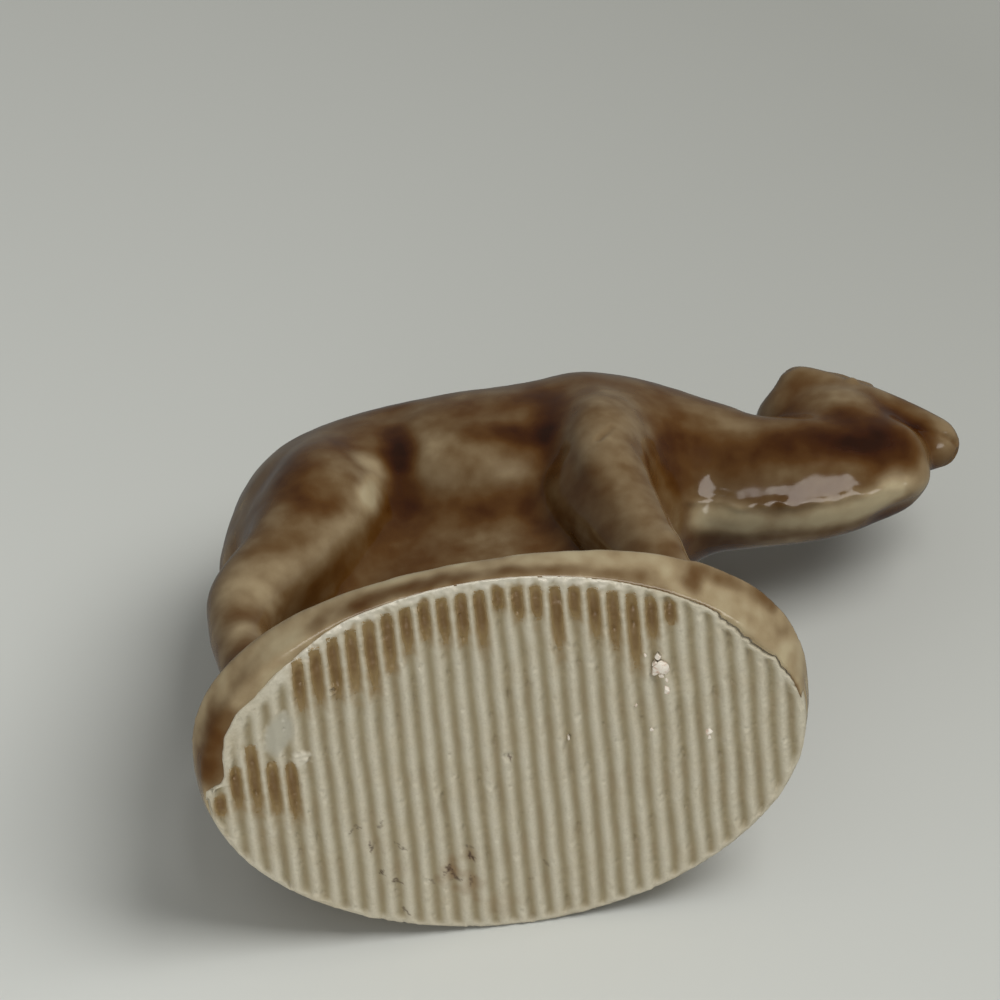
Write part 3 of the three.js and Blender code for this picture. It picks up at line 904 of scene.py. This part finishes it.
FACE = [
    ([EYE], 0.55, 0.24), (BROW, 0.5, 0.18), (NOSTRIL, 0.32, -0.22), (MOUTH, 0.32, -0.20),
    (EAR_HOLLOW, 0.45, -0.12), (JAW, 0.7, 0.08), (FORE_TOES, 0.45, -0.25), (HIND_TOES, 0.45, -0.25),
]
NECK_KEEL = [
    (11.0, 0, 19.4), (13.5, 0, 19.5), (17.0, 0, 19.2), (20.0, 0, 19.3), (22.2, 0, 19.9), (24.4, 0, 21.1)]
NECK_SEAM = [
    (11.4, -1.4, 19.7), (14.0, -0.9, 19.5), (16.7, -0.7, 19.3), (19.4, -0.6, 19.4), (21.6, -0.5, 19.8),
    (23.6, -0.3, 20.6)]
BOX_GAP = 0.01

normals = surface_normals(skin)
for path, reach, height in FACE:
    skin = skin + normals * (height * both_sides(skin, path, reach))[:, None]
skin = blur(skin, 60, both_sides(skin, THROAT, 1.7))
seam_path = skin + 0.25 * np.stack([wander(skin, 1.1, 30 + k) for k in (0, 1, 2)], 1)
bead = falloff(seam_path, NECK_SEAM, 0.45) * (0.5 + 0.5 * step(-0.3, 0.3, wander(skin, 0.9, 31)))
keel = falloff(skin, NECK_KEEL, 1.6)
back_seam = np.exp(-(skin[:, 1] / 0.18) ** 2) * step(0.3, 0.7, normals[:, 2]) * step(20.0, 22.0, skin[:, 2])
ripples = falloff(skin, NECK_SEAM, 3.2) * (0.03 * wander(skin, 2.0, 36) + 0.01 * wander(skin, 0.6, 37))
lumps = 0.05 * wander(skin, 2.6, 32) + 0.012 * wander(skin, 0.9, 33)
skin = skin + normals * (0.12 * keel + 0.11 * bead + 0.06 * back_seam + ripples + lumps * on_camel)[:, None]
wall = (1 - on_camel) * step(0.7, 1.1, skin[:, 2])
skin = skin + normals * (wall * (0.05 * wander(skin, 1.8, 34) + 0.015 * wander(skin, 0.6, 35)))[:, None]
low, high = np.array(cad_low) / MM, np.array(cad_high) / MM
skin = np.clip(skin, low + BOX_GAP, high - BOX_GAP)
print("finished skin; box", skin.min(0).round(2), skin.max(0).round(2))

# %% [markdown]
# ## How deep the glaze lies
# Molten glaze leaves the high places and gathers in the hollows, so a thin coat looks cream and a deep
# pool dark brown. The depth is worked out at every point: how hollow the skin is there, a slow
# cloudiness, and the pools and rubs that this camel shows. Some pale places on the rump, thigh and belly
# are painted highlight as well as thin glaze, a pale line along the plinth's top rim is a painted
# highlight, and the darker nostrils are painted shade. The depth is stored with the mesh, where the
# material reads it.

# %% Glaze depth
# Path, reach in mm and how much deeper or thinner the glaze lies
RIGHT_POOLS = [
    (BELLY_REAR[1:3], 1.4, 0.34), (BELLY_FRONT, 1.5, 0.18), (BELLY_UNDER, 1.1, 0.10),
    (THIGH_UNDER, 1.6, 0.08), (SHOULDER_REAR[:2], 1.5, 0.10),
    ([(0.8, -6.4, 20.8), (2.6, -6.2, 20.6), (4.2, -6.1, 20.6)], 1.4, 0.34),
    ([(0.8, -6.7, 23.6), (3.0, -6.6, 23.7)], 1.8, 0.10),
    ([(11.2, -4.6, 21.9), (10.8, -4.1, 20.3), (11.0, -3.0, 19.8)], 1.6, 0.20),
    ([(12.8, -3.6, 21.6), (15.2, -3.2, 21.3)], 1.7, 0.10),
    ([(17.0, -3.2, 21.4), (20.9, -2.9, 21.5), (22.6, -2.4, 21.5)], 1.8, 0.36),
    ([(21.0, -3.0, 23.6), (22.8, -2.8, 22.9), (23.9, -2.2, 22.0)], 1.7, 0.34),
    ([(-6.6, -7.1, 20.8), (-8.4, -7.4, 19.5), (-9.3, -7.4, 16.7), (-8.6, -7.3, 15.0)], 2.4, 0.26),
    # The pale places on the rump and along the thigh's edge are thin glaze and also painted highlight
    ([(-10.8, -4.4, 23.0)], 3.0, -0.16),
    ([(-5.2, -6.6, 19.5), (-4.7, -5.8, 19.2), (-5.3, -6.0, 16.4)], 1.4, -0.36),
    ([(-5.3, -6.0, 16.4), (-7.0, -6.2, 13.6), (-8.2, -6.0, 11.8)], 1.4, -0.20),
    ([(-10.0, -6.5, 10.2)], 1.6, -0.12), ([(-12.8, -6.5, 4.8), (-13.6, -6.0, 4.2)], 1.6, -0.14),
    ([(-13.4, -6.4, 8.0), (-11.6, -6.5, 9.0)], 2.4, -0.24),
    ([(23.5, -2.0, 24.6), (25.2, -1.3, 23.7)], 1.4, 0.20),
    # The pale places on the belly are thin glaze and also painted highlight
    ([(-1.9, -6.5, 21.0), (-1.8, -5.7, 19.2), (0.1, -4.9, 18.0), (2.4, -5.1, 18.5)], 1.5, -0.18),
    ([(1.3, -5.4, 18.8), (2.6, -5.2, 18.6)], 1.2, -0.14),
    ([(7.6, -7.5, 21.2), (7.9, -7.4, 18.3), (8.0, -7.1, 14.6), (7.8, -6.7, 11.4), (9.0, -6.7, 9.1)],
     1.9, -0.06),
    ([(-3.6, -3.8, 15.1), (-1.8, -3.9, 15.4), (0.9, -3.9, 15.3), (3.0, -3.7, 15.1), (4.7, -3.5, 14.1)],
     1.1, -0.06),
    ([(14.9, -3.7, 23.1), (17.3, -3.5, 22.9)], 1.3, -0.12),
    ([(18.8, -2.8, 26.3), (20.3, -3.0, 26.0)], 2.0, -0.06),
    ([(-15.3, -1.4, 0.1), (-14.8, -3.2, 0.1), (-14.5, -3.9, 0.4)], 1.9, 0.42),
    ([(-12.9, -6.3, 0.4)], 1.4, 0.18),
    ([(10.6, -8.6, 1.6), (13.1, -7.2, 1.9), (14.2, -6.0, 1.9)], 0.8, 0.32), ([(10.4, -8.4, 0.9)], 0.9, 0.32),
    ([(-8.5, -9.0, 0.6), (-4.4, -10.4, 0.75), (-1.3, -10.7, 0.7)], 1.2, 0.22),
    ([(-6.5, -9.9, 0.7), (-2.5, -10.7, 0.7)], 1.0, 0.20),
    ([(-1.3, -10.7, 0.5), (1.8, -10.8, 0.45), (4.8, -10.4, 0.4), (7.8, -9.7, 0.4)], 0.8, 0.20),
    ([(9.65, -5.4, 17.6), (9.8, -5.3, 14.8), (10.1, -5.0, 13.0), (10.4, -5.0, 10.7)], 0.9, 0.28),
    ([(20.6, -2.9, 21.0), (21.9, -2.8, 21.4)], 1.5, 0.26),
]
MIDDLE_POOLS = [
    ([(12.4, -0.3, 19.7), (14.5, 0.2, 19.4), (17.1, 0.4, 19.3), (19.9, 0.4, 19.4), (22.1, 0.2, 19.9),
      (23.4, -0.6, 20.4)], 1.4, -0.48),
    ([(12.8, 2.0, 20.1), (15.5, 2.1, 19.9), (18.7, 2.1, 19.8), (22.1, 1.9, 20.5)], 1.0, 0.02),
    ([(26.0, 0, 23.9)], 1.6, 0.12), ([(23.7, -0.8, 20.8)], 1.3, 0.28),
    ([(-4.0, 0, 32.0), (3.0, 0, 32.4)], 2.2, -0.16), ([(19.0, 0, 30.0)], 1.8, -0.08),
]
CAMEL_DEPTH = 0.52
WALL_THINNER = 0.38
PLINTH_POOL_TOP = 2.6

normals = surface_normals(skin)
soft = blur(skin, 140, np.ones(len(skin)))
hollow = ((soft - skin) * normals).sum(1)
on_wall = 1 - step(2.1, 2.9, skin[:, 2])
glaze = CAMEL_DEPTH - WALL_THINNER * on_wall + np.clip(0.9 * hollow * (1 - on_wall), -0.20, 0.30)
glaze += 0.16 * wander(skin, 3.2, 41) + 0.12 * wander(skin, 1.4, 42) + 0.05 * wander(skin, 0.6, 43)
glaze += 0.10 * on_wall * wander(skin, 0.9, 44)
# A pool on the camel shows weaker on its left side too, and one on the plinth is there once
for path, reach, amount in RIGHT_POOLS:
    other = falloff(skin, [(x, -y, z) for x, y, z in path], reach)
    other = other * (np.asarray(path)[:, 2].max() > PLINTH_POOL_TOP)
    glaze += amount * np.maximum(falloff(skin, path, reach), 0.8 * other)
for path, reach, amount in MIDDLE_POOLS:
    glaze += amount * falloff(skin, path, reach)
lip_line = edge_distance(skin[:, 0], skin[:, 1]) - lap_at(skin[:, 0], skin[:, 1])
# A dark line along the inner edge of the glaze lip under the foot, towards the head end
glaze += 0.34 * np.exp(-(lip_line / 0.12) ** 2) * (skin[:, 2] < 0.5) * step(6.0, 11.0, skin[:, 0])
# Painted highlight: the glaze is made thinner, so paler, in a line along the top rim of the plinth's wall
rim_highlight_band = np.exp(-((skin[:, 2] - 2.28) / 0.16) ** 2) * on_wall
glaze -= 0.14 * rim_highlight_band
# The eyes are dark glaze; the darker nostril slits are painted shade
for spot in (EYE, NOSTRIL[0], NOSTRIL[1]):
    glaze += 0.6 * both_sides(skin, [spot], 0.45)
glaze = np.clip(glaze, 0, 1)
print("glaze depth: mean", round(float(glaze.mean()), 2))

# %% [markdown]
# ## Honey glaze
# The glaze is a clear glass stained with iron, shiny where it ran smooth. Thin, it shows the cream clay;
# deep, it is nearly black-brown. Faint ripples of about 0.8 mm, the orange peel of a dipped glaze, bend
# its reflections.

# %% Honey glaze material
GLAZE_STOPS = [
    (0.00, "#ac9e80"), (0.15, "#988668"), (0.30, "#7e6a4e"), (0.45, "#674f32"),
    (0.60, "#563817"), (0.75, "#432405"), (0.90, "#341602"), (1.00, "#260e01"),
]
RIPPLE_PER_METRE = 1 / (0.8 * MM)
MOTTLE_PER_METRE = 1 / (1.6 * MM)

# A fired glass coat: a mirror-like skin over a colour that darkens with its depth
honey_glaze, tree, place = new_material("honey_glaze")
glaze_depth = add_node(tree, "Attribute", attribute_name="glaze_depth").outputs["Fac"]
mottle = noise(tree, place, MOTTLE_PER_METRE, 5.0, 0.62)
mottled = remap(tree, mottle, 0.25, 0.75, -0.06, 0.06)
depth_sum = add_node(tree, "Math", {0: glaze_depth, 1: mottled}, operation="ADD")
tint = add_node(tree, "ValToRGB", {"Fac": depth_sum.outputs["Value"]})
stops = tint.color_ramp.elements
while len(stops) < len(GLAZE_STOPS):
    stops.new(0.5)
for stop, (at, colour) in zip(stops, GLAZE_STOPS):
    stop.position = at
    stop.color = linear(colour)
ripple_bump = bump(tree, 0.10, 0.00004, noise(tree, place, RIPPLE_PER_METRE, 2.0))
haze = remap(tree, mottle, 0.3, 0.7, 0.08, 0.17)
glass = add_node(tree, "BsdfPrincipled", {
    "Base Color": tint.outputs["Color"], "Roughness": haze, "Normal": ripple_bump, "IOR": GLASS_IOR})
add_node(tree, "OutputMaterial", {"Surface": glass.outputs["BSDF"]})
print("honey glaze:", len(GLAZE_STOPS), "tones from thin to deep")

# %% The camel as a piece
glazed_camel = new_object("glazed_camel", skin, skin_quads.tolist(), honey_glaze)
store(glazed_camel, "glaze_depth", glaze)
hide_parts("glaze_coat")
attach(glazed_camel, "root")
print("glazed camel:", len(glazed_camel.data.polygons), "faces")

# %% [markdown]
# ## Runs of glaze in the grooves
# Glaze ran over the rim into the grooves and froze there, deep in the middle and thin at its tongue. Each
# run is a thin pad laid on the same foot surface that was worked out above, so it follows the groove and
# never floats. The CAD node of each run says in which groove it lies and how far it reached.

# %% Run material
RUN_THIN = "#8a744c"
RUN_DEEP = "#6f5530"
RUN_ROUGHNESS = 0.42

# The same honey glaze, half soaked into the clay: a dull shine, and brown only where it lies deep
run_glaze, tree, place = new_material("run_glaze")
run_depth = add_node(tree, "Attribute", attribute_name="run_depth").outputs["Fac"]
cloudy = remap(tree, noise(tree, place, MOTTLE_PER_METRE, 4.0), 0.3, 0.7, -0.25, 0.25)
run_sum = add_node(tree, "Math", {0: run_depth, 1: cloudy}, operation="ADD", use_clamp=True)
run_tint = mix_colour(tree, run_sum.outputs["Value"], linear(RUN_THIN), linear(RUN_DEEP))
run_glass = add_node(tree, "BsdfPrincipled", {
    "Base Color": run_tint, "Roughness": RUN_ROUGHNESS, "IOR": GLASS_IOR})
add_node(tree, "OutputMaterial", {"Surface": run_glass.outputs["BSDF"]})
print("run glaze from", RUN_THIN, "to", RUN_DEEP)

# %% Runs as pieces
RUN_HALF = 0.29
RUN_THICK = 0.05
RUN_ACROSS = 9
RUN_ALONG = 44
RUN_BACK = 0.06
RUN_START = 0.2


def lay_run(node):
    low, high = run_boxes[node]
    x = (low[0] + high[0]) / 2
    number = int(node[-2:])
    across, along = np.linspace(-1, 1, RUN_ACROSS), np.linspace(0, 1, RUN_ALONG)
    u, v = np.repeat(across, RUN_ALONG), np.tile(along, RUN_ACROSS)
    py = low[1] + RUN_START + v * (high[1] - low[1])
    seeded = np.column_stack([np.full(len(py), x), py, np.full(len(py), number * 3.1)])
    px = x + 0.05 * wander(seeded, 0.6, 52) + u * RUN_HALF * (1 - 0.5 * step(0.5, 1.0, v))
    full = (1 - u ** 2) * step(0.0, 0.30, v) * (1 - step(0.45, 1.0, v))
    thick = RUN_THICK * full * (1 + 0.4 * wander(seeded, 0.8, 51))
    ground = foot_shape(px, py)[0]
    face = np.column_stack([px, py, np.clip(ground - thick, 0.01, None)])
    back = np.column_stack([px, py, ground + RUN_BACK])
    size = RUN_ACROSS * RUN_ALONG
    quads, loop = grid_faces(RUN_ACROSS, RUN_ALONG)
    following = np.roll(loop, -1)
    sides = np.stack([loop, following, following + size, loop + size], 1)
    faces = quads.tolist() + (quads[:, ::-1] + size).tolist() + sides.tolist()
    piece = new_object("run_of_" + node, np.vstack([face, back]), faces, run_glaze)
    depth = np.clip(1.2 * full, 0, 1)
    store(piece, "run_depth", np.concatenate([depth, depth]))
    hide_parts(node)
    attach(piece, "root")
    return piece


runs = [lay_run(node) for node in run_nodes]
print("runs laid:", len(runs))

# %% [markdown]
# ## Kiln crumbs
# Grains of kiln shelf stuck to the foot in the firing: white to pink, rough and broken. Each is a small
# ball of many faces, pushed about by noise and sunk into its groove.

# %% Kiln crumb material
CRUMB_PALE = "#ddd5c9"
CRUMB_PINK = "#c4a795"
CRUMB_GRAIN_PER_METRE = 1 / (0.22 * MM)

# Broken fireclay: dry and sugary, it scatters light and shows no gloss
kiln_crumb, tree, place = new_material("kiln_crumb")
grains = noise(tree, place, CRUMB_GRAIN_PER_METRE, 4.0)
crumb_tint = mix_colour(tree, remap(tree, grains, 0.50, 0.68), linear(CRUMB_PALE), linear(CRUMB_PINK))
crumb_face = add_node(tree, "BsdfPrincipled", {
    "Base Color": crumb_tint, "Roughness": 0.55, "Normal": bump(tree, 0.6, 0.00005, grains)})
add_node(tree, "OutputMaterial", {"Surface": crumb_face.outputs["BSDF"]})
print("kiln crumbs from", CRUMB_PALE, "to", CRUMB_PINK)

# %% Crumbs as pieces
# Place and half sizes, in mm
CRUMBS = [
    (8.36, -4.22, 0.44, 0.52), (8.14, -3.98, 0.26, 0.30), (8.62, -4.02, 0.22, 0.26),
    (8.28, -4.82, 0.18, 0.24), (8.12, -4.42, 0.20, 0.20), (8.40, -3.66, 0.18, 0.20),
    (8.60, -3.40, 0.10, 0.22), (8.56, -2.72, 0.16, 0.34), (10.55, 0.12, 0.20, 0.22),
    (10.56, 0.48, 0.11, 0.18), (7.63, -5.02, 0.09, 0.16), (6.93, -2.02, 0.08, 0.09),
    (7.63, -0.42, 0.12, 0.15), (3.33, -0.43, 0.08, 0.16),
]
CRUMB_FACETS = 14
CRUMB_SUNK = 0.12
CRUMB_PROUD = 0.45

for number, (x, y, half_x, half_y) in enumerate(CRUMBS, 1):
    ball = bmesh.new()
    bmesh.ops.create_icosphere(ball, subdivisions=3, radius=1.0)
    points, ball_faces = points_and_faces(ball)
    rng = np.random.default_rng(60 + number)
    for _ in range(CRUMB_FACETS):
        facing = rng.normal(size=3)
        facing /= np.linalg.norm(facing)
        beyond = np.maximum(points @ facing - rng.uniform(0.45, 0.8), 0)
        points = points - beyond[:, None] * facing
    points *= (1 + 0.12 * wander(points, 0.35, 80 + number))[:, None]
    ground = float(foot_shape(np.array([x]), np.array([y]))[0][0])
    proud = CRUMB_PROUD * min(half_x, half_y)
    tall = (ground + CRUMB_SUNK + proud) / 2
    points = points / np.abs(points).max(0) * (half_x, half_y, tall) + (x, y, ground + CRUMB_SUNK - tall)
    crumb_piece = new_object(f"kiln_crumb_{number:02d}", points, ball_faces, kiln_crumb)
    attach(crumb_piece, "root")
print("crumbs:", len(CRUMBS))
